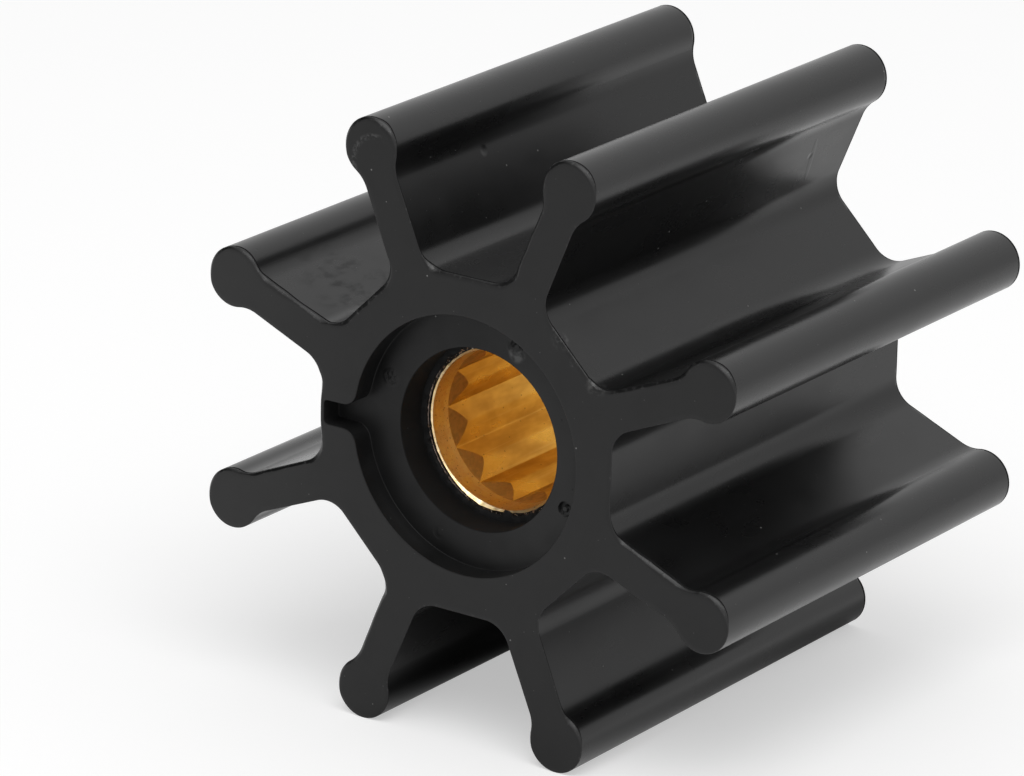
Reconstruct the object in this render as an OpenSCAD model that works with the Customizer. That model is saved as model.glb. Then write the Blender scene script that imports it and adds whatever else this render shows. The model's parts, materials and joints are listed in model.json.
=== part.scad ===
// Flexible-vane pump impeller: a rubber hub with bulb-tipped vanes, moulded round a splined brass bush.
// The shaft runs along Y. The recessed front face looks toward -Y, and two vane tips stand on the ground.

/* [Vanes] */
// Number of vanes round the hub
vane_count = 8; // [6:2:10]
// Distance from the shaft axis to the centre of each bulb
bulb_centre_r = 29.5; // [27:0.5:34]
// Radius of the round bulb at each vane tip
bulb_r = 3.0; // [2.6:0.1:3.6]
// Vane thickness at the bulb end
neck_w = 3.8; // [3:0.1:4.2]
// Vane thickness where it leaves the hub
root_w = 4.0; // [3.6:0.1:5]
// Radius of the hollow between the vane and its bulb
neck_fillet_r = 3.5; // [2.5:0.5:5]
// Radius of the hollow between the vane and the hub
root_fillet_r = 2.9; // [1.5:0.1:3.2]

/* [Hub] */
// Length of the impeller along the shaft
body_len = 50.5; // [40:0.5:60]
// Distance from the shaft axis to the flats between the vanes
hub_flat_r = 16.8; // [16:0.1:18]
// Radius of the shallow counterbore in the front face
counterbore_r = 12.85; // [12:0.05:14]
// Depth of the counterbore
counterbore_depth = 2.4; // [1.5:0.1:3.5]
// Radius of the recess in front of the bush
recess_r = 9.05; // [8.9:0.05:10]
// Depth of the bush's front end below the front face
insert_front_depth = 6.0; // [5:0.1:9]
// Depth of the bush's rear end below the rear face
insert_rear_depth = 2.0; // [1:0.1:4]

/* [Slot] */
// Width of the slot that leads off the counterbore
slot_w = 2.4; // [2:0.1:3]
// Rubber left between the end of the slot and the flat of the hub
slot_web = 0.4; // [0.4:0.1:1.5]
// Radius of the corners where the slot opens into the counterbore
slot_corner_r = 1.6; // [0.8:0.1:2]

/* [Pin marks] */
// Number of ring marks that the pins of the mould left in the floor of the counterbore
pin_count = 4; // [2:1:6]
// Distance from the shaft axis to the middle of each mark
pin_centre_r = 11.0; // [10.8:0.1:11.5]
// Outer radius of a mark
pin_mark_r = 0.75; // [0.6:0.05:0.9]
// Radius of the stub that stands in the middle of a mark
pin_stub_r = 0.35; // [0.2:0.05:0.4]
// Depth of a mark below the floor
pin_mark_depth = 0.3; // [0.2:0.05:0.5]

/* [Bush] */
// Outer radius of the brass bush, inside the rubber
insert_r = 10.5; // [10.2:0.1:11.5]
// Radius of the plain bore at each end of the bush
pilot_r = 7.95; // [7.9:0.05:8.2]
// Length of the plain bore, mouth chamfer included
pilot_len = 2.2; // [1.5:0.1:4]
// Chamfer at both mouths of the bush
mouth_chamfer = 0.2; // [0.1:0.05:0.6]
// Number of V grooves in the bore
groove_count = 12; // [10:2:14]
// Radius to the bottom of the V grooves
groove_r = 7.87; // [7.7:0.01:7.89]
// Radius to the ridges between the grooves
ridge_r = 7.3; // [7.1:0.05:7.4]
// Length of the taper that leads from the plain bore on to the ridges
taper_len = 2.5; // [1:0.1:4]

/* [Hidden] */
$fa = 4;
$fs = 0.4;
// How far shapes run into each other or past a face, so that no faces coincide
eps = 0.5;
// How far the circle of a hollow cuts past the lines that it blends, so that it crosses them
bite = 0.01;
// Rubber lip that closes on the front of the bush
lip_r = 8.65;
lip_len = 0.3;
// Half of the angle between two vanes, so that two tips stand level on the ground
half_step = 180 / vane_count;
tip = [bulb_centre_r, 0];
// Upper flank of one vane that lies along X: direction, outward normal and distance from the axis
flank_tilt = atan2((neck_w - root_w) / 2, bulb_centre_r - hub_flat_r);
flank_dir = [cos(flank_tilt), sin(flank_tilt)];
flank_n = [-sin(flank_tilt), cos(flank_tilt)];
flank_d = flank_n * [bulb_centre_r, neck_w / 2];
// Normal of the hub flat above that vane
flat_n = [cos(half_step), sin(half_step)];
// Point where two lines n . p = d cross
function cross_at(n1, d1, n2, d2) =
    [d1 * n2[1] - d2 * n1[1], n1[0] * d2 - n2[0] * d1] / (n1[0] * n2[1] - n1[1] * n2[0]);
// Centre of the fillet between flank and flat
root_c = cross_at(flank_n, flank_d + root_fillet_r, flat_n, hub_flat_r + root_fillet_r);
// Centre of the fillet between flank and bulb
neck_h = flank_d + neck_fillet_r - flank_n * tip;
neck_s = sqrt(pow(bulb_r + neck_fillet_r, 2) - neck_h * neck_h);
neck_c = tip + flank_n * neck_h - flank_dir * neck_s;
// Upper side of the vane from the hub outwards. It turns at the centres of both hollows, which are cut afterwards
side = [
    root_c - flat_n * root_fillet_r, root_c, root_c - flank_n * root_fillet_r,
    neck_c - flank_n * neck_fillet_r, neck_c
];
// Both sides of the vane, from the hub out to the tip and back
vane_points = concat([for (p = side) [p[0], -p[1]]], [tip], [for (i = [len(side) - 1 : -1 : 0]) side[i]]);
// Point p turned round the shaft by angle a
function turned(p, a) = [p[0] * cos(a) - p[1] * sin(a), p[0] * sin(a) + p[1] * cos(a)];
// Slot corner: round centre, beside the slot and outside the counterbore
corner_y = slot_w / 2 + slot_corner_r;
corner_x = -sqrt(pow(counterbore_r + slot_corner_r, 2) - corner_y * corner_y);
slot_end = -(hub_flat_r - slot_web);
insert_len = body_len - insert_front_depth - insert_rear_depth;

// Turns a shape drawn along Z so that Z runs from the front face to the rear face
module along_shaft() {
    rotate([-90, 0, 0])
        translate([0, 0, -body_len / 2])
            children();
}

// Puts a shape that is drawn for the vane along X at every vane
module at_each_vane() {
    for (i = [0 : vane_count - 1])
        rotate((2 * i + 1) * half_step)
            children();
}

// The four round hollows beside one vane, at the hub and behind the bulb
module vane_hollows() {
    for (s = [-1, 1]) {
        translate([root_c[0], s * root_c[1]])
            circle(r = root_fillet_r + bite);
        translate([neck_c[0], s * neck_c[1]])
            circle(r = neck_fillet_r + bite);
    }
}

// Whole outline, hub and vanes: straight lines, then the hollows are cut and the bulbs are put on
module impeller_outline() {
    difference() {
        polygon([for (i = [0 : vane_count - 1], p = vane_points) turned(p, (2 * i + 1) * half_step)]);
        at_each_vane()
            vane_hollows();
    }
    at_each_vane()
        translate(tip)
            circle(r = bulb_r);
}

// Counterbore with the slot that runs off it and the rounded corners between them
module counterbore_outline() {
    difference() {
        polygon([[slot_end, -slot_w / 2], [corner_x, -slot_w / 2], [corner_x, -corner_y], [0, 0],
            [corner_x, corner_y], [corner_x, slot_w / 2], [slot_end, slot_w / 2]]);
        for (s = [-1, 1])
            translate([corner_x, s * corner_y])
                circle(r = slot_corner_r + bite);
    }
    circle(r = counterbore_r);
}

// Ring marks in the floor of the counterbore, evenly spaced from the line of a vane
module pin_marks() {
    for (i = [0 : pin_count - 1])
        rotate(half_step + i * 360 / pin_count)
            translate([pin_centre_r, 0, counterbore_depth - eps])
                linear_extrude(height = eps + pin_mark_depth)
                    difference() {
                        circle(r = pin_mark_r);
                        circle(r = pin_stub_r);
                    }
}

// Space in the rubber that the recesses and the bush take up, as a section turned round Z
module hub_space() {
    rotate_extrude()
        polygon([
            [0, -eps], [recess_r, -eps], [recess_r, insert_front_depth - lip_len],
            [lip_r, insert_front_depth - lip_len], [lip_r, insert_front_depth],
            [insert_r, insert_front_depth], [insert_r, insert_front_depth + insert_len],
            [recess_r, insert_front_depth + insert_len], [recess_r, body_len + eps], [0, body_len + eps]
        ]);
}

// Moulded rubber hub and vanes
module rubber_body() {
    color([0.14, 0.14, 0.145])
        along_shaft()
            difference() {
                linear_extrude(height = body_len)
                    impeller_outline();
                translate([0, 0, -eps])
                    linear_extrude(height = counterbore_depth + eps)
                        counterbore_outline();
                pin_marks();
                hub_space();
            }
}

// Star of V grooves along the bore
module groove_star() {
    polygon([for (i = [0 : 2 * groove_count - 1])
        let (a = i * 180 / groove_count, r = i % 2 == 0 ? groove_r : ridge_r)
            r * [cos(a), sin(a)]]);
}

// Half of the turned bore: chamfered mouth, plain pilot bore, then the taper on to the ridges
module pilot_space() {
    rotate_extrude()
        polygon([
            [0, -eps], [pilot_r + mouth_chamfer + eps, -eps], [pilot_r, mouth_chamfer],
            [pilot_r, pilot_len], [ridge_r, pilot_len + taper_len], [0, pilot_len + taper_len]
        ]);
}

// Brass bush with twelve grooves, a plain bore and a chamfer at each mouth
module drive_insert() {
    color([0.76, 0.55, 0.22])
        along_shaft()
            translate([0, 0, insert_front_depth])
                difference() {
                    cylinder(r = insert_r, h = insert_len);
                    translate([0, 0, -eps])
                        linear_extrude(height = insert_len + 2 * eps)
                            groove_star();
                    pilot_space();
                    translate([0, 0, insert_len])
                        mirror([0, 0, 1])
                            pilot_space();
                }
}

rubber_body();
drive_insert();
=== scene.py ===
# %% [markdown]
# # A pump impeller
# A flexible-vane impeller is a rubber wheel that turns inside a pump. It is moulded round a brass bush,
# and the shaft drives it through grooves in that bush. Both are outlines carried along the shaft, so they
# are built in numpy. Sizes are in millimetres until a mesh is made, and Blender gets metres.

# %% Frame
import json
import math
from types import SimpleNamespace

import bmesh
import bpy
import numpy as np
from mathutils import Matrix, Vector


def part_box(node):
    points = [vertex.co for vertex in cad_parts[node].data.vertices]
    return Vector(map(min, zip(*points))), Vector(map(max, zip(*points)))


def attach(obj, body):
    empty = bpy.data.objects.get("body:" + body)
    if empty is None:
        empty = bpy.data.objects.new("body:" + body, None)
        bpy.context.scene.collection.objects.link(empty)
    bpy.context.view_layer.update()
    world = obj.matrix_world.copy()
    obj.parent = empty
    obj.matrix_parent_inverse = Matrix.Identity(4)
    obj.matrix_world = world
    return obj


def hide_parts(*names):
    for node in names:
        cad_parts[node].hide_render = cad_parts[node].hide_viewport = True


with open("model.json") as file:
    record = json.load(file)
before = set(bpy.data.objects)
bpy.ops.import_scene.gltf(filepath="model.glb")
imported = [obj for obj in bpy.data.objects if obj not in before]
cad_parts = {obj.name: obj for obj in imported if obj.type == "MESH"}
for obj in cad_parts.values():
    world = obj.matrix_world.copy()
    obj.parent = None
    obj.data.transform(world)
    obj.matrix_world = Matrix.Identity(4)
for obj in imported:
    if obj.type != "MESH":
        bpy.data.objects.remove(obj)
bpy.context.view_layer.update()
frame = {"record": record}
MM = 0.001

# %% [markdown]
# ## Driving sizes
# Length, reach of the vanes and bore are read from the frame. The rest are the sizes of the mould. The
# shaft runs along Y, the recessed front looks toward -Y, and angles are counted from +X toward +Z.

# %% Sizes
body_low, body_high = (np.array(corner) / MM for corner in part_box("rubber_body"))
bush_low, bush_high = (np.array(corner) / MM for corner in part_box("drive_insert"))
front_y, back_y = body_low[1], body_high[1]
bush_front_y, bush_back_y = bush_low[1], bush_high[1]
bush_r = bush_high[0]
mounts = {mount["name"]: mount for mount in frame["record"]["mounts"]}
pilot_r = mounts["shaft_pilot_front"]["dims"]["r_mm"]
vane_count = 8
half_step = 180 / vane_count
bulb_r = 3.0
bulb_centre_r = (body_high[0] - bulb_r) / math.cos(math.radians(half_step))
neck_w = 3.8
root_w = 4.0
neck_hollow_r = 3.5
root_hollow_r = 2.9
hub_flat_r = 16.8
counterbore_r = 12.85
counterbore_depth = 2.4
recess_r = 9.05
print(f"body {back_y - front_y:.1f} long, bulbs centred at {bulb_centre_r:.2f}, shaft bore {pilot_r} mm")

# %% [markdown]
# ## Camera
# A long lens far away, placed by the point that it looks at, a direction and a distance, and turned a
# little about its line of sight.

# %% Camera
look_at = Vector((-7.955, -5.92, -1.047)) * MM
azimuth, elevation, roll = (math.radians(a) for a in (34.704, 18.990, 1.238))
distance = 619.17 * MM
back = Vector((math.sin(azimuth) * math.cos(elevation), -math.cos(azimuth) * math.cos(elevation),
               math.sin(elevation)))
camera = bpy.data.objects.new("camera", bpy.data.cameras.new("camera"))
bpy.context.scene.collection.objects.link(camera)
turn = (-back).to_track_quat("-Z", "Y").to_matrix() @ Matrix.Rotation(roll, 3, "Z")
camera.matrix_world = Matrix.Translation(look_at + back * distance) @ turn.to_4x4()
camera.data.sensor_width = 36
camera.data.lens = 223.70
camera.data.clip_start, camera.data.clip_end = 0.01, 20
bpy.context.scene.camera = camera
print(f"camera {distance:.2f} m away, lens {camera.data.lens:.0f} mm")

# %% [markdown]
# ## Shader helpers
# One helper adds a node and sets its inputs by name, one links, and the others do sums, blends and soft
# steps. An output knows its own tree, so none is handed on.


# %% Shader helpers
def node(owner, kind, **sockets):
    """Adds a shader node to a tree or beside an output, and sets inputs or properties by name."""
    new = owner.id_data.nodes.new(kind)
    for name, value in sockets.items():
        if name in new.inputs:
            new.inputs[name].default_value = value
        else:
            setattr(new, name, value)
    return new


def join(*ends):
    """Links outputs to inputs, given in pairs. A plain value is written into its input."""
    for value, into in zip(ends[::2], ends[1::2]):
        if isinstance(value, bpy.types.NodeSocket):
            into.id_data.links.new(value, into)
        else:
            into.default_value = value


def math_of(operation, *values):
    """One Math node on outputs or numbers."""
    owner = next(value for value in values if isinstance(value, bpy.types.NodeSocket))
    new = node(owner, "ShaderNodeMath", operation=operation)
    for value, socket in zip(values, new.inputs):
        join(value, socket)
    return new.outputs[0]


def times(first, second):
    """Product of two outputs or numbers."""
    return math_of("MULTIPLY", first, second)


def total_of(*values):
    """Sum of outputs and numbers."""
    total = values[0]
    for value in values[1:]:
        total = math_of("ADD", total, value)
    return total


def blend_of(share, first, second):
    """Colour between two colours or outputs, by a share from 0 to 1."""
    new = node(share, "ShaderNodeMix", data_type="RGBA")
    first, second = (c if isinstance(c, bpy.types.NodeSocket) else (*c, 1) for c in (first, second))
    join(share, new.inputs[0], first, new.inputs[6], second, new.inputs[7])
    return new.outputs[2]


def step_of(value, low, high, at_low=0.0, at_high=1.0):
    """A soft step from at_low at low to at_high at high."""
    new = node(value, "ShaderNodeMapRange", interpolation_type="SMOOTHSTEP")
    join(value, new.inputs["Value"], low, new.inputs["From Min"], high, new.inputs["From Max"],
         at_low, new.inputs["To Min"], at_high, new.inputs["To Max"])
    return new.outputs["Result"]


# %% [markdown]
# ## Patterns
# Clouds, dust, and marks round a point. All are read in object coordinates, so that they stay on the
# piece, and their sizes are in millimetres.


# %% Patterns
def place_of(tree):
    """The point on the piece, in its own coordinates, in millimetres."""
    scale = node(tree, "ShaderNodeVectorMath", operation="SCALE", Scale=1 / MM)
    join(node(tree, "ShaderNodeTexCoord").outputs["Object"], scale.inputs[0])
    return scale.outputs[0]


def axis_of(place, axis):
    """One coordinate of a point."""
    xyz = node(place, "ShaderNodeSeparateXYZ")
    join(place, xyz.inputs[0])
    return xyz.outputs[axis]


def distance_of(place, centre):
    """Distance from a point, in mm."""
    gap = node(place, "ShaderNodeVectorMath", operation="DISTANCE")
    join(place, gap.inputs[0], centre, gap.inputs[1])
    return gap.outputs["Value"]


def near_of(place, centre, radius, edge):
    """1 within a radius of a point, fading to 0 over an edge. All in mm."""
    return step_of(distance_of(place, centre), radius, radius + edge, 1.0, 0.0)


def cloud_of(place, across, along=None, detail=2.0, shift=0.0):
    """Noise from 0 to 1, with sizes in mm across the shaft and along it."""
    size = node(place, "ShaderNodeMapping", Location=(shift, shift / 2, -shift),
                Scale=(1 / across, 1 / (along or across), 1 / across))
    noise = node(place, "ShaderNodeTexNoise", Scale=1.0, Detail=detail, Roughness=0.55)
    join(place, size.inputs["Vector"], size.outputs[0], noise.inputs["Vector"])
    return noise.outputs[0]


def dust_of(place, spacing, radius, shift=0.0):
    """1 on small specks: round cells of a Voronoi pattern, cut at a radius in mm."""
    size = node(place, "ShaderNodeMapping", Location=(shift, -shift, shift), Scale=(1 / spacing,) * 3)
    cells = node(place, "ShaderNodeTexVoronoi", Scale=1.0, Randomness=1.0)
    join(place, size.inputs["Vector"], size.outputs[0], cells.inputs["Vector"])
    return step_of(cells.outputs["Distance"], 0.5 * radius / spacing, radius / spacing, 1.0, 0.0)


def wear_and_highlight_of(place):
    """How near the point is to an edge, from 0 to 1, as kept in the mesh. On the rubber it is wear,
    on the brass a painted highlight.
    """
    return node(place, "ShaderNodeAttribute", attribute_name="edge").outputs["Fac"]


def finish_of(name, metal=0.0, specular=0.5):
    """A material with one Principled shader, and the place on the piece. Colour, roughness and height in
    mm are added before it is closed."""
    material = bpy.data.materials.new(name)
    material.use_nodes = True
    shader = material.node_tree.nodes["Principled BSDF"]
    shader.inputs["Metallic"].default_value = metal
    shader.inputs["Specular IOR Level"].default_value = specular
    return SimpleNamespace(material=material, shader=shader, place=place_of(material.node_tree))


def close(made):
    """Links colour, roughness and, by way of a bump, height to the shader, and gives the material."""
    bump = node(made.place, "ShaderNodeBump", Strength=1.0, Distance=MM)
    join(made.colour, made.shader.inputs["Base Color"], made.rough, made.shader.inputs["Roughness"],
         made.height, bump.inputs["Height"], bump.outputs[0], made.shader.inputs["Normal"])
    return made.material


print("patterns: clouds, dust, marks near a point")

# %% [markdown]
# ## Room and lamp
# Black rubber shows what it mirrors, so the room matters more than the lamp. It is a white studio: camera
# rays and mirrored rays see it at full white, while the light that it throws on the object is plainer. One
# wide soft lamp stands above the front, and a black card on the left gives edges that face it a dark line.


# %% Room and lamp
def seen_directly(tree):
    """1 for rays from the camera and for mirrored or refracted rays, 0 for light that falls on things."""
    rays = node(tree, "ShaderNodeLightPath").outputs
    either = math_of("MAXIMUM", rays["Is Camera Ray"], rays["Is Glossy Ray"])
    return math_of("MAXIMUM", either, rays["Is Transmission Ray"])


def mirrored_ray(tree):
    """1 for mirrored rays alone."""
    return node(tree, "ShaderNodeLightPath").outputs["Is Glossy Ray"]


scene = bpy.context.scene
scene.view_settings.view_transform = "Standard"
world = bpy.data.worlds.new("studio")
scene.world = world
world.use_nodes = True
sky = world.node_tree
sky.nodes.clear()
sky_out = node(sky, "ShaderNodeOutputWorld")
room_light = 0.62
room = node(sky, "ShaderNodeBackground", Color=(1, 1, 1, 1), Strength=room_light)
white = node(sky, "ShaderNodeBackground", Color=(1, 1, 1, 1))
mixed_sky = node(sky, "ShaderNodeMixShader")
join(seen_directly(sky), mixed_sky.inputs[0], room.outputs[0], mixed_sky.inputs[1],
     white.outputs[0], mixed_sky.inputs[2], mixed_sky.outputs[0], sky_out.inputs[0])
# The card: dark where a mirrored ray points toward the left, within an edge given as cosines
card_toward = Vector((-0.93, -0.36, 0.05)).normalized()
card_edge = (0.62, 0.80)
card_dark = 0.96
heading = node(sky, "ShaderNodeTexCoord").outputs["Generated"]
cosine = node(sky, "ShaderNodeVectorMath", operation="DOT_PRODUCT")
join(heading, cosine.inputs[0], card_toward, cosine.inputs[1])
on_card = times(step_of(cosine.outputs["Value"], *card_edge), card_dark)
# Toward the horizon the room is a little plainer
low_down = step_of(axis_of(heading, "Z"), 0.10, 0.50, 0.12, 0.0)
dimmed = times(math_of("MAXIMUM", on_card, low_down), mirrored_ray(sky))
join(math_of("SUBTRACT", 1.0, dimmed), white.inputs["Strength"])

lamp = bpy.data.objects.new("soft_lamp", bpy.data.lights.new("soft_lamp", "AREA"))
scene.collection.objects.link(lamp)
lamp.data.shape = "RECTANGLE"
lamp.data.size, lamp.data.size_y = 0.7, 0.5
lamp.data.energy = 3.0
lamp_at = Vector((0.25, -0.35, 0.75))
lamp.location = lamp_at
lamp.rotation_euler = (-lamp_at).to_track_quat("-Z", "Y").to_euler()
print(f"room light {room_light}, lamp {lamp.data.energy:.0f} W at {lamp_at.length:.2f} m")

# %% [markdown]
# ## Floor
# A matt colour keeps the shadow, and only directly seen rays meet the glow. Mirrored rays don't find it
# under the object, where a real table would be dark.


# %% Floor
def paper(name, colour, glow, half, middle, widening, fade):
    """White paper: a matt colour and a glow. For mirrored rays the glow is out on a patch within half
    of middle, all in mm. Its half width grows by widening for each mm toward the back, and the distance
    outside is hypot(max(|x| - half_x, 0), max(|y| - half_y, 0))."""
    material = bpy.data.materials.new(name)
    material.use_nodes = True
    tree = material.node_tree
    tree.nodes.clear()
    out = node(tree, "ShaderNodeOutputMaterial")
    matt = node(tree, "ShaderNodeBsdfDiffuse", Color=(colour, colour, colour, 1))
    light = node(tree, "ShaderNodeEmission", Color=(1, 1, 1, 1))
    both = node(tree, "ShaderNodeAddShader")
    place = place_of(tree)
    along = math_of("SUBTRACT", axis_of(place, "Y"), middle)
    half_width = math_of("ADD", times(along, widening), half[0])
    outside = []
    for off, limit in ((axis_of(place, "X"), half_width), (along, half[1])):
        beyond = math_of("SUBTRACT", math_of("ABSOLUTE", off), limit)
        outside.append(math_of("POWER", math_of("MAXIMUM", beyond, 0.0), 2.0))
    away = math_of("SQRT", math_of("ADD", *outside))
    under = times(mirrored_ray(tree), step_of(away, 0.0, fade, 1.0, 0.0))
    lit = times(seen_directly(tree), math_of("SUBTRACT", 1.0, under))
    join(times(lit, glow), light.inputs["Strength"],
         matt.outputs[0], both.inputs[0], light.outputs[0], both.inputs[1], both.outputs[0], out.inputs[0])
    return material


floor_half = 3.0
floor_mesh = bpy.data.meshes.new("floor")
floor_mesh.from_pydata([(x * floor_half, y * floor_half, body_low[2] * MM)
                        for x, y in ((-1, -1), (1, -1), (1, 1), (-1, 1))], [], [(0, 1, 2, 3)])
floor = bpy.data.objects.new("floor", floor_mesh)
scene.collection.objects.link(floor)
floor_mesh.materials.append(paper("floor_paper", 0.62, 0.46, (8, 27), 5, 0.2, 15))
print(f"floor at {body_low[2]:.2f} mm, under two vane tips")

# %% [markdown]
# ## From rows of points to a mesh
# Every surface is a stack of closed loops with the same number of points, joined by quads. Where loops
# meet, points are merged. Each stack names its finish, so that one mesh can be smooth here and dull there.


# %% Mesh helpers
def line(start, end, count):
    """Evenly spaced points on a straight line."""
    return np.linspace(np.asarray(start, float), np.asarray(end, float), count)


def ray_at(angle):
    """Directions at angles in radians."""
    return np.stack([np.cos(angle), np.sin(angle)], axis=-1)


def arc(centre, radius, start, end, count):
    """Points on a circle between two angles in degrees, and their rays from the centre."""
    ray = ray_at(np.radians(np.linspace(start, end, count)))
    return np.asarray(centre) + radius * ray, ray


def rotated(points, degrees):
    """Points (x, z) turned about the shaft: x cos a - z sin a, x sin a + z cos a."""
    a = math.radians(degrees)
    return points @ np.array([[math.cos(a), math.sin(a)], [-math.sin(a), math.cos(a)]])


def at_depth(loop, y):
    """A loop of the end face, lifted to one depth y or to a depth for each point."""
    return np.stack([loop[:, 0], np.broadcast_to(y, len(loop)), loop[:, 1]], axis=1)


def grid_quads(rows, columns, first):
    """Quads between rows of a closed grid: cell (i, j) joins points j and j + 1 of rows i and i + 1."""
    i, j = np.meshgrid(np.arange(rows - 1), np.arange(columns), indexing="ij")
    k = (j + 1) % columns
    quads = np.stack([i * columns + j, i * columns + k, (i + 1) * columns + k, (i + 1) * columns + j],
                     axis=-1)
    return quads.reshape(-1, 4) + first


def skin_object(name, stacks, finishes, sharp_degrees, weld=0.002):
    """One mesh from stacks of loops (rows, columns, 3) in mm. Each has the number of its finish, for all
    or by column, and how near each row is to an edge, which is kept as the attribute edge: worn on the
    rubber, and with a painted highlight on the brass."""
    points, quads, worn, edge, count = [], [], [], [], 0
    for stack, finish, near_edge in stacks:
        rows, columns, _ = stack.shape
        points.append(stack.reshape(-1, 3))
        quads.append(grid_quads(rows, columns, count))
        worn.append(np.broadcast_to(finish, (rows - 1, columns)).ravel())
        edge.append(np.repeat(np.broadcast_to(near_edge, rows), columns))
        count += rows * columns
    mesh = bpy.data.meshes.new(name)
    mesh.from_pydata(np.concatenate(points) * MM, [], np.concatenate(quads))
    mesh.polygons.foreach_set("material_index", np.concatenate(worn))
    kept = mesh.attributes.new("edge", "FLOAT", "POINT")
    kept.data.foreach_set("value", np.concatenate(edge).astype(np.float32))
    work = bmesh.new()
    work.from_mesh(mesh)
    bmesh.ops.remove_doubles(work, verts=work.verts, dist=weld * MM)
    bmesh.ops.dissolve_degenerate(work, edges=work.edges, dist=weld * MM / 4)
    bmesh.ops.recalc_face_normals(work, faces=work.faces)
    open_edges = sum(not edge.is_manifold for edge in work.edges)
    triangles = sum(len(face.verts) - 2 for face in work.faces)
    work.to_mesh(mesh)
    work.free()
    mesh.polygons.foreach_set("use_smooth", np.ones(len(mesh.polygons), bool))
    mesh.set_sharp_from_angle(angle=math.radians(sharp_degrees))
    for finish in finishes:
        mesh.materials.append(finish)
    piece = bpy.data.objects.new(name, mesh)
    scene.collection.objects.link(piece)
    print(f"{name}: {len(mesh.vertices)} points, {triangles} triangles, {open_edges} open edges")
    return piece


def waver(t, low, high, seed):
    """Smooth seeded noise, mostly -1 to 1, on a closed loop: waves of low to high laps."""
    rng = np.random.default_rng(seed)
    laps = np.arange(low, high + 1)
    strength = rng.uniform(0.5, 1, len(laps))
    start = rng.uniform(0, 2 * np.pi, len(laps))
    waves = np.cos(2 * np.pi * np.outer(t, laps) + start) @ strength
    return waves / np.sqrt((strength ** 2).sum())


# %% [markdown]
# ## Outline of the vanes
# Half of the gap between two vanes runs from the middle of the hub flat round the hollow at the root, up
# the flank, through the hollow behind the bulb and round the bulb to its tip. Each point keeps its outward
# direction for the bevels.

# %% Half of a gap
tilt = math.atan2((neck_w - root_w) / 2, bulb_centre_r - hub_flat_r)
flank_dir = ray_at(tilt)
flank_n = np.array([-math.sin(tilt), math.cos(tilt)])
flank_d = flank_n @ [bulb_centre_r, neck_w / 2]
flat_n = ray_at(math.radians(half_step))
tip = np.array([bulb_centre_r, 0.0])
root_c = np.linalg.solve([flank_n, flat_n], [flank_d + root_hollow_r, hub_flat_r + root_hollow_r])
neck_h = flank_d + neck_hollow_r - flank_n @ tip
neck_c = tip + flank_n * neck_h - flank_dir * math.sqrt((bulb_r + neck_hollow_r) ** 2 - neck_h ** 2)
bulb_end = math.degrees(math.atan2(*(neck_c - tip)[::-1]))
flank_angle = math.degrees(tilt)

FLAT, ROOT, FLANK, NECK, BULB = 9, 22, 16, 11, 24
mid_flat = flat_n * hub_flat_r
flat_points = line(mid_flat, root_c - flat_n * root_hollow_r, FLAT)
root_points, root_ray = arc(root_c, root_hollow_r, half_step - 180, flank_angle - 90, ROOT)
neck_points, neck_ray = arc(neck_c, neck_hollow_r, flank_angle - 90, bulb_end - 180, NECK)
bulb_points, bulb_ray = arc(tip, bulb_r, bulb_end, 0, BULB)
flank_points = line(root_points[-1], neck_points[0], FLANK)
vane_half = np.concatenate([flat_points[:-1], root_points, flank_points[1:-1], neck_points[:-1],
                            bulb_points])
vane_half_n = np.concatenate([np.tile(flat_n, (FLAT - 1, 1)), -root_ray, np.tile(flank_n, (FLANK - 2, 1)),
                              -neck_ray[:-1], bulb_ray])
print(f"half a gap: {len(vane_half)} points out to r {vane_half[-1, 0]:.1f}")

# %% [markdown]
# ## Full loops
# The half above belongs to a vane along X. Turned by half a step it starts in the middle of a gap. With
# its mirror image it makes one gap from tip to tip, and eight gaps make the loop.


# %% Loops round the shaft
def gap_half(points):
    """From the frame of a vane to that of the gap beside it: mirrored, then turned by half a step."""
    return rotated(points * [1, -1], half_step)


def full_loop(halves):
    """Joins the gaps. halves[k] runs from the middle of gap k to the next vane, in the frame of gap 0."""
    pieces = []
    for k, half in enumerate(halves):
        other_half = half[::-1] * [1, -1]
        pieces.append(rotated(np.concatenate([other_half[:-1], half[:-1]]), k * 2 * half_step))
    return np.concatenate(pieces)


outline = full_loop([gap_half(vane_half)] * vane_count)
outline_n = full_loop([gap_half(vane_half_n)] * vane_count)
steps = np.linalg.norm(np.diff(outline, axis=0, append=outline[:1]), axis=1)
lap = np.concatenate([[0], np.cumsum(steps)[:-1]]) / steps.sum()
from_shaft = np.linalg.norm(outline, axis=1)
bulb_starts, bulb_fade = bulb_centre_r - 2.5, 1.0
on_bulb = np.clip((from_shaft - bulb_starts) / bulb_fade, 0, 1)
print(f"outline: {len(outline)} points, {steps.sum():.0f} mm round, widest {np.ptp(outline[:, 0]):.2f} mm")

# %% [markdown]
# ## Rims of the recesses
# A slot with rounded corners runs off the front counterbore in the middle of one gap. The inner edge of
# the face follows this rim, and then the middle line of the vane, so that straight rungs from it to the
# outline never cross and the face is a plain grid. The points crowd toward each vane, because small marks
# lie there in the floor of the counterbore.

# %% Rim paths
# Points of a rim from mid gap to the vane, of its crowded stretch, and of the parts of the slot
RIM, FINE = 33, 20
END_WALL, INNER, OUTER = 3, 3, 7
fine_from = 16.0
slot_gap = 4
slot_half_w = 1.2
slot_end_r = 16.4
slot_corner_r = 1.6
slot_end_corner_r = 0.4
corner_z = slot_half_w + slot_corner_r
corner_x = math.sqrt((counterbore_r + slot_corner_r) ** 2 - corner_z ** 2)
corner_at = math.degrees(math.atan2(corner_z, corner_x))


def circle_part(radius, start, count):
    """Points on a circle from a start angle to the vane, crowded in the last stretch, and their rays."""
    angle = np.concatenate([np.linspace(start, fine_from, count - FINE + 1)[:-1],
                            np.linspace(fine_from, half_step, FINE)])
    ray = ray_at(np.radians(angle))
    return radius * ray, ray


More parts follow.
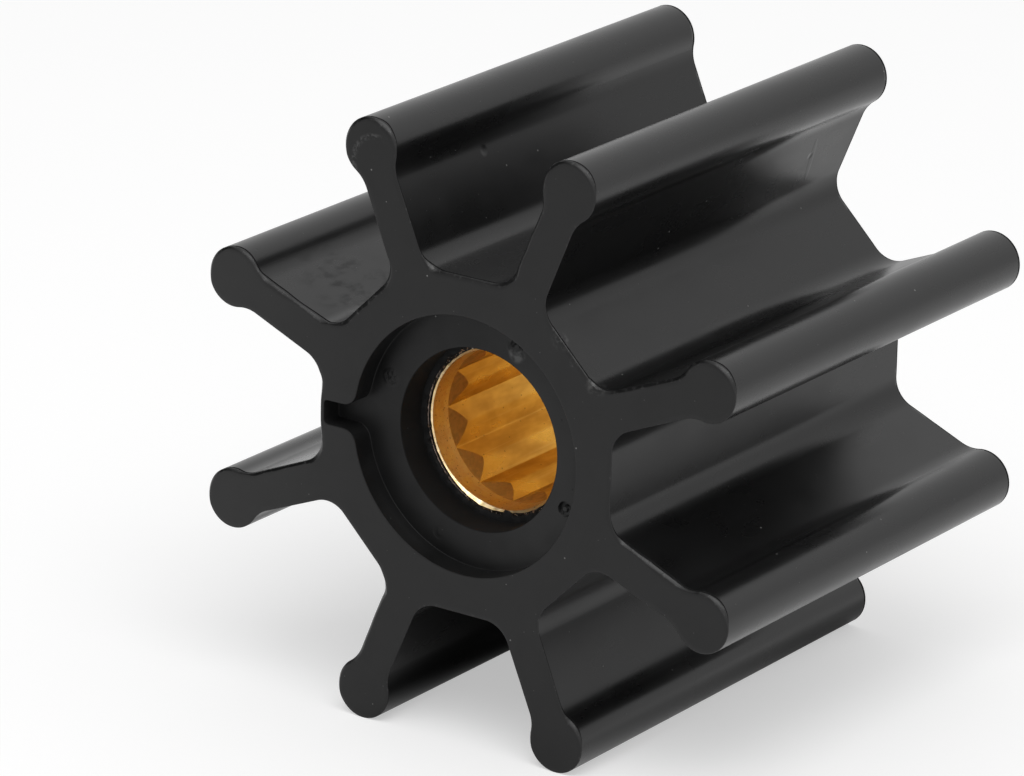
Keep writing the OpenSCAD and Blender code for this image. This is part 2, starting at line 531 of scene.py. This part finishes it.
def plain_rim(radius):
    """A quarter of a gap on a circle: points and directions into the hole, from mid gap to the vane."""
    points, ray = circle_part(radius, 0, RIM)
    return points, -ray


def slot_rim():
    """The same quarter with half of the slot: end wall, inner corner, side, rounded corner, circle."""
    end_c = (slot_end_r - slot_end_corner_r, slot_half_w - slot_end_corner_r)
    end = line((slot_end_r, 0), (slot_end_r, end_c[1]), END_WALL)
    inner, inner_ray = arc(end_c, slot_end_corner_r, 0, 90, INNER + 1)
    outer, outer_ray = arc((corner_x, corner_z), slot_corner_r, -90, corner_at - 180, OUTER)
    circle, ray = circle_part(counterbore_r, corner_at, RIM - END_WALL - INNER - OUTER + 1)
    points = np.concatenate([end, inner[1:], outer, circle[1:]])
    into = np.concatenate([np.tile([-1.0, 0.0], (END_WALL, 1)), -inner_ray[1:], outer_ray, -ray[1:]])
    return points, into


def rim_loops(radius, with_slot):
    """Rim points and directions into the hole, as closed loops."""
    rims = [slot_rim() if with_slot and k == slot_gap else plain_rim(radius) for k in range(vane_count)]
    return full_loop([points for points, _ in rims]), full_loop([into for _, into in rims]), rims


front_rim, front_into, front_rims = rim_loops(counterbore_r, True)
_, _, back_rims = rim_loops(recess_r, False)
compass = rim_loops(1.0, False)[0]
bearing = np.degrees(np.arctan2(compass[:, 1], compass[:, 0])) % 360
print(f"rim: {len(front_rim)} points, slot half {len(slot_rim()[0])} points, plain half {RIM}")

# %% [markdown]
# ## Edges
# The flash at the ends of the vanes was trimmed with a blade. That left a crescent on the upper right of
# each bulb, a bevel that comes and goes on the sides that face up, and a wide one on the upper left,
# widest at the roots. Behind it runs the groove where the parts of the mould met. All depend on the
# direction in which the outline faces, times a noise.

# %% Bevels
outline_faces = np.degrees(np.arctan2(outline_n[:, 1], outline_n[:, 0]))


def facing(centre, reach):
    """1 where the outline faces a direction in degrees, falling as a cosine to 0 at reach from it."""
    off = np.abs((outline_faces - centre + 180) % 360 - 180)
    return np.cos(np.clip(off / reach, 0, 1) * np.pi / 2)


ragged = 1 + 0.10 * waver(lap, 40, 150, 1)
comes_and_goes = np.clip(1.0 + 0.18 * waver(lap, 14, 60, 9), 0.4, 1.3)
# 1 on the thin web beside the slot, where nothing was trimmed
web_reach = 1.9
web = np.exp(-(np.hypot(outline[:, 0] + hub_flat_r, outline[:, 1]) / web_reach) ** 4)
crescent = facing(54, 48) * on_bulb
upper = facing(67, 24) * (1 - on_bulb)
shady = facing(140, 62)
root_ends = 20.0
at_root = facing(152, 46) * np.clip(root_ends - from_shaft, 0, 1)
front_bevel = 0.04 + 0.27 * crescent + 0.25 * upper * comes_and_goes + 0.28 * shady + 0.18 * at_root
front_bevel = front_bevel * ragged * (1 - 0.8 * web)
front_drop = front_bevel * (1 - 0.35 * shady)
uneven_groove = np.clip(0.95 + 0.2 * waver(lap, 20, 90, 4), 0.3, 1.3)
front_groove = (0.02 + 0.11 * facing(95, 100)) * uneven_groove * (1 - web)
front_groove_w = 0.03 + 0.24 * facing(105, 95)
rear_bevel = 0.05 * ragged
rear_groove = (0.06 + 0.08 * on_bulb) * np.clip(0.7 + 0.4 * waver(lap, 40, 110, 5), 0.1, 1)
rear_groove_w = 0.10 + 0.12 * on_bulb
rim_edge_r = 0.08
# Shares of the width and of the drop at each row of a bevel
front_profile = ((1.0, 0.0), (0.82, 0.10), (0.10, 0.82), (0.0, 1.0))
rear_profile = ((1.0, 0.0), (0.5, 0.5), (0.0, 1.0), (0.0, 1.2))
print(f"front bevel {front_bevel.min():.2f} to {front_bevel.max():.2f} mm, "
      f"groove to {front_groove.max():.2f} mm deep")


def edge_rows(profile, bevel, drop, groove, groove_w):
    """Rows (set back, depth) from the face over the bevel and the groove to the plain side."""
    rows = [(bevel * across, drop * down) for across, down in profile]
    near_side = drop * 1.2 + 0.02
    flush = np.zeros_like(groove)
    return rows + [(flush, near_side), (groove, near_side + 0.3 * groove_w),
                   (groove, near_side + 0.7 * groove_w), (flush, near_side + groove_w),
                   (flush, near_side + groove_w + 0.25)]


# %% Skin along the vanes
length = back_y - front_y
front_rows = edge_rows(front_profile, front_bevel, front_drop, front_groove, front_groove_w)
from_rear = edge_rows(rear_profile, rear_bevel, rear_bevel, rear_groove, rear_groove_w)
rear_rows = [(set_back, length - depth) for set_back, depth in from_rear[::-1]]
edge_zone = 1.2
none = np.zeros(len(outline))
middle_rows = [(none, none + depth) for depth in np.linspace(edge_zone, length - edge_zone, 6)]
skin = np.stack([at_depth(outline - outline_n * set_back[:, None], front_y + depth)
                 for set_back, depth in front_rows + middle_rows + rear_rows])
front_worn, rear_worn = 5, 4
skin_edge = [1] * front_worn + [0] * (len(skin) - front_worn - rear_worn) + [1] * rear_worn
print(f"skin {skin.shape}")

# %% [markdown]
# ## End faces
# Each rung starts on the rim of the hole, or on the middle line of a vane, and ends at the bevel.

# %% Faces
spine_end = bulb_centre_r + bulb_r - 1.1
spine_joins = 8
along_vane = rotated(gap_half(vane_half), -half_step)[:, 0]


def face_targets(rims, grow):
    """Inner ends of the rungs: along the rim, set back by grow, then out along the middle of the vane,
    where the distance from the shaft passes into that of the side over the first spine_joins rungs."""
    spine_x = np.clip(along_vane[RIM:], None, spine_end)
    blend = np.clip((np.arange(len(spine_x)) + 1) / spine_joins, 0, 1)
    targets = []
    for points, into in rims:
        rim = points - into * grow
        reach = np.linalg.norm(rim[-1]) * (1 - blend) + spine_x * blend
        spine = rotated(np.stack([reach, np.zeros(len(reach))], axis=1), half_step)
        targets.append(np.concatenate([rim, spine]))
    return full_loop(targets)


def face(rims, grow, y, bevel):
    """Rungs of an end face between its inner targets and the bevelled outline, at depth y. One row lies
    0.5 mm from the edge, or at 0.7 of a short rung."""
    inner, outer = face_targets(rims, grow), outline - outline_n * bevel[:, None]
    rung = np.linalg.norm(outer - inner, axis=1)
    beside = np.maximum(1 - 0.5 / rung, 0.7)
    shares = [np.broadcast_to(s, rung.shape)[:, None] for s in (0, 0.04, 0.35, 0.62, beside, 1)]
    return np.stack([at_depth(inner * (1 - share) + outer * share, y) for share in shares])


front_face = face(front_rims, rim_edge_r, front_y, front_bevel)
back_face = face(back_rims, rim_edge_r, back_y, rear_bevel)[::-1]
face_edge = [0.6, 0, 0, 0, 0, 1]
print(f"faces {front_face.shape} and {back_face.shape}")

# %% [markdown]
# ## Counterbore
# The pins that hold the bush in the mould leave four ring marks in the floor, each a groove round a small
# stub. One side has filled in, and at one mark lies a little heap. The wall has a hair-fine ledge where
# two parts of the core met.

# %% Floor with pin marks
# Angle, distance from the shaft, depth, side that has filled in, how far, height of the heap
pin_marks = ((67.6, 11.05, 0.30, 250, 1.0, 0.12), (158.0, 11.05, 0.06, 60, 1.0, 0.0),
             (247.3, 11.10, 0.02, 20, 0.8, 0.0), (335.3, 11.12, 0.45, 300, 0.55, 0.0))
pin_ring_r, pin_groove_w, pin_wall = 0.50, 0.30, 0.10
heap_off, heap_w = 0.90, 0.2
sag_at, sag_width, sag_depth = 150, 20, 0.16
sag_from, sag_over = 10.9, 1.9
floor_y = front_y + counterbore_depth
foot_r = 0.05
recess_edge_r = 0.08


def pin_relief(x, z):
    """Depth of the marks: a steep-walled groove round a stub, shallower toward its filled side, less the
    heap, a bell of width heap_w across an arc heap_off away on that side. Toward the wall on the upper
    left the floor sags, as the square of the way there from radius sag_from."""
    depth = np.zeros_like(x)
    for angle, radius, most, side, filled, heap in pin_marks:
        a, b = math.radians(angle), math.radians(side)
        dx, dz = x - radius * math.cos(a), z - radius * math.sin(a)
        off = np.abs(np.hypot(dx, dz) - pin_ring_r)
        groove = np.clip((pin_groove_w / 2 + pin_wall - off) / pin_wall, 0, 1)
        around = np.arctan2(dz, dx) - b
        open_share = 1 - filled * np.clip(0.5 + 0.9 * np.cos(around) + 0.15 * np.cos(3 * around + 1), 0, 1)
        depth += most * groove * open_share
        across = np.hypot(dx, dz) - heap_off
        depth -= heap * np.exp(-(across / heap_w) ** 2) * np.clip(1.3 * np.cos(around), 0, 1)
    toward_wall = np.clip((np.hypot(x, z) - sag_from) / sag_over, 0, 1)
    bearing_off = (np.degrees(np.arctan2(z, x)) % 360 - sag_at) / sag_width
    return depth + sag_depth * np.exp(-bearing_off ** 2) * toward_wall ** 2


# The marks lie in this band of radii, so its rows are close together
fine_band = (10.1, 11.9)
ledge_depth, ledge_most, ledge_at, ledge_width = 1.35, 0.035, 232, 34
ledge = ledge_most * np.exp(-((bearing - ledge_at) / ledge_width) ** 2)[:, None]
foot_loop = front_rim + front_into * (foot_r + ledge)
recess_loop = compass * (recess_r + recess_edge_r)
plain_reach = counterbore_r - foot_r - recess_r - recess_edge_r
fine_share = (np.array(fine_band) - recess_r - recess_edge_r) / plain_reach
floor_share = np.concatenate([np.linspace(0, fine_share[0], 6)[:-1], np.linspace(*fine_share, 34),
                              np.linspace(fine_share[1], 1, 7)[1:]])[:, None, None]
floor_plan = recess_loop * (1 - floor_share) + foot_loop * floor_share
pocket_floor = np.stack([at_depth(loop, floor_y + pin_relief(loop[:, 0], loop[:, 1]))
                         for loop in floor_plan])
foot_y = pocket_floor[-1, :, 1]
print(f"floor {pocket_floor.shape}, deepest mark {pocket_floor[..., 1].max() - floor_y:.2f} mm")

# %% Wall of the counterbore
# A quarter of a rounded edge with radius 1: what is left to go across and down at each row
rounding = [(1 - math.cos(a), 1 - math.sin(a)) for a in np.radians(np.linspace(0, 90, 5))]
foot_rows = [at_depth(front_rim + front_into * (foot_r * s + ledge), foot_y - foot_r * c)
             for c, s in rounding]
ledge_rows = [at_depth(front_rim + front_into * ledge, front_y + ledge_depth),
              at_depth(front_rim, front_y + ledge_depth - 0.08)]
rim_rows = [at_depth(front_rim - front_into * rim_edge_r * c, front_y + rim_edge_r * s)
            for c, s in rounding]
wall = np.stack(foot_rows + ledge_rows + rim_rows)
worn = len(rim_rows) - 1
wall_edge = [0] * (len(wall) - worn) + [0.6] * worn
print(f"wall {wall.shape}")

# %% [markdown]
# ## Recess, lip and hidden bore
# A thin skin of rubber has crept over the end of the bush. Its edge is torn, with a tongue over the
# mouth. Behind it the rubber is wrapped round the bush to the rear recess.

# %% Inside of the hub
lip_len = 0.3
lip_r = 8.47
tongue_at, tongue_width, tongue_reach = 277.8, 3.8, 0.56
turn_share = bearing / 360
lip_edge = lip_r + 0.07 * waver(turn_share, 12, 90, 6)
lip_edge = lip_edge - tongue_reach * np.exp(-((bearing - tongue_at) / tongue_width) ** 4)
lip_y = bush_front_y - lip_len * (0.75 + 0.25 * waver(turn_share, 8, 40, 7))


def ring(radius, y, directions=compass):
    """A loop round the shaft in the directions given. Radius and depth may change on the way round."""
    return at_depth(directions * np.broadcast_to(radius, len(directions))[:, None], y)


recess_rows = [ring(recess_r + recess_edge_r * c, floor_y + recess_edge_r * s) for c, s in rounding]
back_rows = [ring(recess_r + rim_edge_r * s, back_y - rim_edge_r * c) for c, s in rounding]
bush_bed = [ring(recess_r, bush_back_y), ring(bush_r, bush_back_y), ring(bush_r, bush_front_y)]
lip_rows = [ring(lip_edge, bush_front_y), ring(lip_edge, bush_front_y - 0.08),
            ring(lip_edge + 0.16, lip_y), ring(recess_r, lip_y - 0.05)]
inside = np.stack(back_rows + bush_bed + lip_rows + recess_rows)
print(f"lip from {lip_edge.min():.2f} to {lip_edge.max():.2f} mm")

# %% [markdown]
# ## Marks on the rubber
# The part isn't new. It has a scuffed bulb, dents, a crease, a stain, and chalky crumbs where it was
# trimmed. Each mark is a place on the piece.

# %% Marks on the rubber
# Places in mm: across, along the shaft, up
scuff_centre, scuff_r = (-10.6, front_y, 25.9), 2.62
scuff_side = (-12.6, front_y, 27.4)
dent_places = (((-8.02, -11.4, 24.4), 0.55), ((10.63, 17.4, 20.6), 0.40), ((-26.0, -23.6, 13.6), 0.35))
dent_depth = 0.04
crease_ends = ((11.41, 17.3, 22.5), (9.44, 18.5, 17.6))
crease_w, crease_height = 0.45, 0.012
stain_centre = (-19.4, -17.0, 10.3)
smear_centre, smear_hole = (4.25, floor_y, 9.50), (4.35, floor_y, 10.35)
rough_patch = (-10.25, floor_y, 4.10)
chalk_places = (((10.8, front_y, 12.9), 1.3), ((12.34, front_y, 10.93), 0.7), ((14.8, front_y, 9.2), 1.4),
                ((-3.97, front_y, 17.0), 0.6), ((2.4, front_y, 16.8), 0.5))


def scuff_arc(place):
    """Light scratches on one bulb: near a circle, on one side, broken by fine noise."""
    from_line = math_of("SUBTRACT", distance_of(place, scuff_centre), scuff_r)
    on_line = step_of(math_of("ABSOLUTE", from_line), 0.05, 0.42, 1.0, 0.0)
    one_side = near_of(place, scuff_side, 2.0, 1.2)
    broken = step_of(cloud_of(place, 0.5, detail=3.0, shift=3.0), 0.43, 0.60)
    return times(times(on_line, one_side), broken)


def crease_of(place, ends, width):
    """1 on a thin line between two points: off the line by the sum of both distances less the length."""
    detour = total_of(*(distance_of(place, end) for end in ends), -math.dist(*ends))
    return step_of(detour, 0.0, 2 * width ** 2 / math.dist(*ends), 1.0, 0.0)


def press_dents(made):
    """Presses the dents into a finish, and puts the ridge of the crease on."""
    for centre, radius in dent_places:
        dent = near_of(made.place, centre, 0.1, radius)
        made.height = math_of("SUBTRACT", made.height, times(dent, dent_depth))
    crease = crease_of(made.place, crease_ends, crease_w)
    made.height = total_of(made.height, times(crease, crease_height))


def rub_chalk(made):
    """Puts chalky crumbs on a finish, round a few places at the front edge."""
    place = made.place
    chalk = 0.0
    for centre, radius in chalk_places:
        chalk = math_of("MAXIMUM", near_of(place, centre, 0.3 * radius, 0.7 * radius), chalk)
    crumbs = step_of(cloud_of(place, 0.45, detail=4.0, shift=11.0), 0.42, 0.72)
    made.colour = blend_of(times(chalk, crumbs), made.colour, (0.065, 0.065, 0.064))


print(f"{len(dent_places)} dents and {len(chalk_places)} places with chalk")

# %% [markdown]
# ## Recipe of the rubber
# Rubber from a polished mould shows soft reflections with wandering edges, faint lines along the vanes
# and a fine grain. Where it was cut or pressed against a plate it is duller. All finishes share one recipe
# of clouds, patches, grain, chips and dust, and a table gives each its numbers.

# %% Recipe of the rubber
# Tone, specular level, roughness in dark and in light clouds, patches, height and length of the grain in
# mm, and spacing of the dust in mm
recipes = {
    "moulded_rubber": ((0.0030, 0.0030, 0.0031), 0.43, (0.24, 0.31), 0.03, (0.0010, 9.0), 3.2),
    "hub_rubber": ((0.0032, 0.0032, 0.0033), 0.345, (0.25, 0.32), 0.03, (0.0010, 9.0), 3.2),
    "edge_rubber": ((0.0034, 0.0034, 0.0035), 0.43, (0.30, 0.38), 0.03, (0.0010, 0.22), 3.2),
    "flat_rubber": ((0.0066, 0.0066, 0.0067), 0.31, (0.40, 0.50), 0.05, (0.0016, 0.22), 2.7),
    "pocket_rubber": ((0.0056, 0.0056, 0.0057), 0.25, (0.40, 0.50), 0.08, (0.0016, 0.22), 2.9),
    "sooty_rubber": ((0.0058, 0.0058, 0.0060), 0.18, (0.58, 0.72), 0.08, (0.0030, 0.30), 3.5),
}


def rubber_finish(name):
    """Black rubber after its recipe. Beside a worn edge it is chalky in small chips."""
    tone, specular, gloss, patchy, (grain_height, grain_length), specks = recipes[name]
    made = finish_of(name, specular=specular)
    place = made.place
    cloud = cloud_of(place, 6.0, 11.0, detail=3.0)
    patch = step_of(cloud_of(place, 2.6, 5.0, detail=3.0, shift=5.0), 0.42, 0.74)
    rough = total_of(step_of(cloud, 0.25, 0.75, *gloss), times(patch, patchy))
    fine_dust = dust_of(place, specks * 0.45, 0.05, shift=7.0)
    dust = math_of("MAXIMUM", dust_of(place, specks, 0.11), times(fine_dust, 0.6))
    edge = wear_and_highlight_of(place)
    flaky = total_of(cloud_of(place, 0.42, detail=3.0, shift=2.0), times(edge, 0.20))
    chips = times(step_of(flaky, 0.74, 0.88), step_of(edge, 0.05, 0.30))
    colour = blend_of(step_of(cloud, 0.35, 0.65), tone, tuple(c * 1.5 for c in tone))
    colour = blend_of(chips, colour, (0.026,) * 3)
    made.colour = blend_of(dust, colour, (0.20, 0.20, 0.195))
    made.rough = math_of("MAXIMUM", rough, times(dust, 0.8))
    made.height = total_of(times(cloud_of(place, 7.0, 18.0, detail=1.0), 0.030),
                           times(cloud_of(place, 0.22, grain_length), grain_height),
                           times(cloud_of(place, 0.16), 0.7 * grain_height),
                           times(dust, 0.03), times(chips, 0.012))
    return made


print(f"{len(recipes)} finishes of rubber: {', '.join(recipes)}")

# %% [markdown]
# ## Finishes of the rubber
# The bulbs are the smoothest. The hub and the flanks shine a little less, the flat ends are dull, the
# counterbore is duller still, and the recess and the mould groove have almost no gloss.


# %% Finishes of the rubber
def stain_flank(made):
    """The hub and the flanks: one flank is stained, and duller in blots."""
    stained = near_of(made.place, stain_centre, 3.0, 5.0)
    blots = step_of(cloud_of(made.place, 1.5, 2.6, detail=4.0, shift=9.0), 0.46, 0.66)
    made.rough = total_of(made.rough, times(times(stained, blots), 0.22))


def scuff_end(made):
    """The flat ends: one bulb is scuffed, and toward -X they are paler."""
    scuff = scuff_arc(made.place)
    colour = blend_of(scuff, made.colour, (0.055,) * 3)
    made.height = total_of(made.height, times(scuff, 0.02))
    paler = step_of(axis_of(made.place, "X"), -30.0, -10.0, 0.8, 0.0)
    made.colour = blend_of(paler, colour, (0.022,) * 3)


def smear_and_painted_light_pocket(made):
    """The counterbore: painted light that makes it lighter toward the right, away from the shade of the
    wall on the left, a smear at one pin mark, a rough patch at another.
    """
    place = made.place
    # Painted light: the floor turns lighter toward +X, away from the shade of the wall on the left
    painted_light_right = step_of(axis_of(place, "X"), -2.0, 9.0)
    colour = blend_of(painted_light_right, made.colour, (0.017,) * 3)
    smear = math_of("SUBTRACT", near_of(place, smear_centre, 0.55, 0.55),
                    near_of(place, smear_hole, 0.42, 0.25))
    patchy = step_of(cloud_of(place, 0.6, detail=3.0, shift=4.0), 0.30, 0.60)
    smear = times(math_of("MAXIMUM", smear, 0.0), patchy)
    made.colour = blend_of(smear, colour, (0.085,) * 3)
    crumbled = near_of(place, rough_patch, 0.4, 0.7)
    crumbs = times(crumbled, cloud_of(place, 0.45, detail=2.0, shift=3.0))
    made.height = total_of(made.height, times(crumbs, 0.20))


def rubber_of(name, *marks):
    """A finish after its recipe, with its marks put on in turn."""
    made = rubber_finish(name)
    for mark in marks:
        mark(made)
    return close(made)


rubber_finishes = [rubber_of("moulded_rubber", press_dents),
                   rubber_of("hub_rubber", stain_flank, rub_chalk, press_dents),
                   rubber_of("edge_rubber", rub_chalk), rubber_of("flat_rubber", scuff_end, rub_chalk),
                   rubber_of("pocket_rubber", smear_and_painted_light_pocket), rubber_of("sooty_rubber")]
MOULDED, HUB, EDGE, FLAT_END, POCKET, SOOTY = range(6)
print([finish.name for finish in rubber_finishes])

# %% [markdown]
# ## The rubber wheel
# The long skin is cut in bands that share a row: trimmed edge, mould groove, sides, and the same at the
# rear. The finish of the sides changes from column to column.

# %% Rubber wheel
lower_left = (outline[:, 0] < 0) & (outline[:, 1] < 0)
sides = np.where((on_bulb < 0.5) & ~lower_left, HUB, MOULDED)
# Last rows of the bevel, of the groove and of the skin
bevel_row, groove_row, last = 4, 7, len(skin) - 1
cuts = (0, bevel_row, groove_row, last - groove_row, last - bevel_row, last)
stacks = [(front_face, FLAT_END, face_edge)]
stacks += [(skin[start:stop + 1], finish, skin_edge[start:stop + 1])
           for start, stop, finish in zip(cuts, cuts[1:], (EDGE, SOOTY, sides, SOOTY, EDGE))]
stacks += [(back_face, FLAT_END, face_edge[::-1]), (inside, SOOTY, 0), (pocket_floor, POCKET, 0),
           (wall, POCKET, wall_edge)]
rubber = skin_object("rubber_wheel", stacks, rubber_finishes, sharp_degrees=40)

# %% [markdown]
# ## The brass bush
# The bush is a plain ring outside. Inside, twelve V grooves run between two smooth bores. Each bore
# narrows by a hair to a plain strip, whose paler colour is painted light, and from there a cone cuts each
# ridge in a slanted end. The grid follows that cut: in each direction the cone ends where it meets the
# star of grooves. The crests are a little rounded, and the chamfer at the mouth is uneven.

# %% Bush surface
groove_count = 12
groove_r, ridge_r = 7.87, 7.3
lead_depth, cone_depth, ridge_depth = 1.75, 2.5, 4.7
per_flank = 13
crest_soft, valley_soft = 0.020, 0.010
flank_share = (1 - np.cos(np.linspace(0, np.pi, per_flank + 1)[:-1])) / 2
pitch = math.pi / groove_count
turn_angle = (np.arange(groove_count * 2)[:, None] * pitch + flank_share * pitch).ravel()
bush_compass = ray_at(turn_angle)


def star_radius(angle):
    """Radius of the star: the straight line from a groove bottom to the next crest, softened."""
    a = np.abs((angle + pitch) % (2 * pitch) - pitch)
    a = np.sqrt(a ** 2 + valley_soft ** 2)
    a = pitch - np.sqrt((pitch - np.minimum(a, pitch)) ** 2 + crest_soft ** 2)
    a = (a - a.min()) / (a.max() - a.min()) * (pitch - valley_soft / 2 - crest_soft / 2) + valley_soft / 2
    bottom = np.array([groove_r, 0.0])
    crest = ridge_r * ray_at(pitch)
    across = np.array([-(crest - bottom)[1], (crest - bottom)[0]])
    return (across @ bottom) / (across[0] * np.cos(a) + across[1] * np.sin(a))


star = star_radius(turn_angle)
cone_r = star.max()
cut_depth = cone_depth + (cone_r - star) / (cone_r - ridge_r) * (ridge_depth - cone_depth)
bush_bearing = np.degrees(turn_angle)
bush_share = turn_angle / (2 * math.pi)


def swell(centre, before, after):
    """A hump round the shaft that rises over one number of degrees and falls over another."""
    off = bush_bearing - centre
    return np.exp(-(off / np.where(off < 0, before, after)) ** 2)


far_side = 1 + np.cos(np.radians(bush_bearing - 30))
mouth_chamfer = 0.13 + 0.07 * far_side + 0.17 * swell(256, 20, 12) + 0.08 * swell(293, 7, 14)
mouth_chamfer = mouth_chamfer + 0.02 * waver(bush_share, 9, 70, 8)
print(f"star {star.min():.2f} to {star.max():.2f} mm, "
      f"chamfer {mouth_chamfer.min():.2f} to {mouth_chamfer.max():.2f} mm")


def bush_loop(radius, y):
    """The same on the bush, whose points crowd at crests and grooves."""
    return ring(radius, y, bush_compass)


# %% Rows of the bush
def half_bore(chamfer):
    """Radius and depth from the end face over chamfer, bore and plain strip to the end of the cone."""
    return [(pilot_r + chamfer, 0), (pilot_r + 0.02, chamfer * 0.9), (pilot_r, chamfer * 0.9 + 0.05),
            (cone_r + 0.01, lead_depth), (cone_r, cone_depth), (star, cut_depth)]


rear_chamfer = 0.2
front_loops = [bush_loop(r, bush_front_y + d) for r, d in half_bore(mouth_chamfer)]
rear_loops = [bush_loop(r, bush_back_y - d) for r, d in half_bore(rear_chamfer)[::-1]]
mouth_rows = np.stack(front_loops[3::-1])
lead_rows = np.stack(front_loops[4:2:-1])
front_cone = np.stack(front_loops[-2:][::-1])
groove_rows = np.stack([rear_loops[0], front_loops[-1]])
rear_cone = np.stack(rear_loops[:2][::-1])
rear_mouth_rows = np.stack(rear_loops[1:][::-1])
front_end = np.stack([front_loops[0], bush_loop(bush_r, bush_front_y)])
outer_rows = np.stack([bush_loop(bush_r, bush_front_y), bush_loop(bush_r, bush_back_y), rear_loops[-1]])
print(f"{len(front_loops)} loops at each mouth, {len(bush_compass)} points round")

# %% [markdown]
# ## Finish of the brass
# The broach leaves long fine lines down the grooves, and the metal is cloudy from handling. The end face
# was never cleaned: it is dark, with coppery specks where the rubber film has come off. Pale specks and a
# pale line beside the rubber on it are painted glints.

# %% Finishes of the brass
painted_highlight_brass = (1.0, 0.78, 0.47)
pit_brown = (0.30, 0.16, 0.06)
glint_line_r, glint_line_side = 8.40, (-7.6, bush_front_y, -2.6)


def broached_brass():
    """Golden brass with lines along the shaft and soft clouds."""
    made = finish_of("broached_brass", metal=1.0)
    place = made.place
    streak = cloud_of(place, 0.40, 16.0, detail=3.0)
    cloud = cloud_of(place, 2.4, 6.0, detail=3.0, shift=4.0)
    colour = blend_of(step_of(cloud, 0.35, 0.68), (0.92, 0.655, 0.225), (0.70, 0.435, 0.11))
    colour = blend_of(step_of(streak, 0.50, 0.75, 0.0, 0.5), colour, (0.95, 0.74, 0.34))
    pits = times(dust_of(place, 1.1, 0.10, shift=2.0), 0.7)
    made.colour = blend_of(pits, colour, (0.25, 0.13, 0.05))
    made.rough = step_of(cloud, 0.3, 0.7, 0.25, 0.38)
    waves = cloud_of(place, 3.0, 9.0, detail=0.0, shift=6.0)
    made.height = total_of(times(streak, 0.008), times(waves, 0.04))
    return close(made)


def mouth_brass(name, light, dark):
    """Plain bore, lead-in and chamfer: paler and duller, blotchy and pitted, and painted paler on the
    edges as a highlight.
    """
    made = finish_of(name, metal=1.0)
    place = made.place
    cloud = cloud_of(place, 1.6, 2.5, detail=3.0, shift=4.0)
    colour = blend_of(step_of(cloud, 0.35, 0.68), light, dark)
    blotchy = cloud_of(place, 0.38, detail=4.0, shift=9.0)
    colour = blend_of(step_of(blotchy, 0.36, 0.54, 0.30, 0.0), colour, (0.80, 0.44, 0.13))
    # Painted highlight: pale brass on the chamfers and at the start of each cone, where the edge value is
    # set
    colour = blend_of(wear_and_highlight_of(place), colour, painted_highlight_brass)
    small_pits = dust_of(place, 0.3, 0.06, shift=5.0)
    pits = math_of("MAXIMUM", dust_of(place, 0.55, 0.12, shift=2.0), small_pits)
    made.colour = blend_of(times(pits, 0.55), colour, pit_brown)
    made.rough = step_of(cloud, 0.3, 0.7, 0.30, 0.44)
    made.height = total_of(times(cloud, 0.03), times(blotchy, 0.006))
    return close(made)


def turned_brass():
    """The cut ends of the ridges: matt and brown."""
    made = finish_of("turned_brass", metal=0.88)
    cloud = cloud_of(made.place, 0.9, detail=3.0, shift=3.0)
    made.colour = blend_of(step_of(cloud, 0.35, 0.65), (0.90, 0.48, 0.12), (0.68, 0.33, 0.07))
    made.rough = step_of(cloud, 0.3, 0.7, 0.45, 0.60)
    made.height = times(cloud, 0.01)
    return close(made)


def end_brass():
    """The end face: dark film with coppery specks, and painted glints in pale specks and a pale line
    beside the rubber on the lower left.
    """
    made = finish_of("end_brass", metal=1.0)
    place = made.place
    bare = step_of(cloud_of(place, 0.30, detail=4.0, shift=8.0), 0.55, 0.66)
    colour = blend_of(bare, (0.022, 0.019, 0.017), (0.30, 0.18, 0.11))
    # Painted glints: pale specks over the end face
    specks = step_of(cloud_of(place, 0.22, detail=2.0, shift=12.0), 0.64, 0.72)
    colour = blend_of(specks, colour, (0.75, 0.62, 0.52))
    # Painted glint: a pale line round the end face, on the lower left only
    from_line = math_of("SUBTRACT", distance_of(place, (0, bush_front_y, 0)), glint_line_r)
    on_line = step_of(math_of("ABSOLUTE", from_line), 0.03, 0.09, 1.0, 0.0)
    uneven = step_of(cloud_of(place, 0.7, detail=2.0, shift=6.0), 0.30, 0.50)
    one_side = near_of(place, glint_line_side, 4.5, 4.0)
    made.colour = blend_of(times(times(on_line, uneven), one_side), colour, (0.85, 0.66, 0.55))
    made.rough = step_of(cloud_of(place, 0.5, detail=2.0), 0.3, 0.7, 0.38, 0.60)
    made.height = times(cloud_of(place, 0.28, detail=3.0, shift=1.0), 0.04)
    return close(made)


GROOVED, MOUTH, LEAD, TURNED, DARK = range(5)
# The strip at the end of each bore gets a paler copy of the bore's finish: painted light
brass_finishes = [broached_brass(), mouth_brass("mouth_brass", (1.0, 0.80, 0.41), (0.98, 0.71, 0.33)),
                  mouth_brass("painted_light_lead_brass", (1.0, 0.82, 0.46), (0.98, 0.73, 0.37)), turned_brass(),
                  end_brass()]
print([finish.name for finish in brass_finishes])

# %% [markdown]
# ## The brass bush in one mesh
# The stacks run from the outside over the rear end, through the bore and out at the front.

# %% Brass bush
# Edge values mark the painted highlight: the chamfers and the start of each cone
bush = skin_object("brass_bush", [(outer_rows, MOUTH, 0), (rear_mouth_rows, MOUTH, [1, 1, 0, 0, 1]),
                                  (rear_cone, TURNED, 0), (groove_rows, GROOVED, 0),
                                  (front_cone, TURNED, 0), (lead_rows, LEAD, [0.5, 0]),
                                  (mouth_rows, MOUTH, [0, 0, 1, 1]), (front_end, DARK, 0)],
                   brass_finishes, sharp_degrees=5)

# %% [markdown]
# ## Attaching the pieces
# Each piece rides on the one body, and the plain piece that it stands for is hidden.

# %% Finish
for piece, slot, cad in ((rubber, "rubber", "rubber_body"), (bush, "brass", "drive_insert")):
    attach(piece, "root")
    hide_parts(cad)
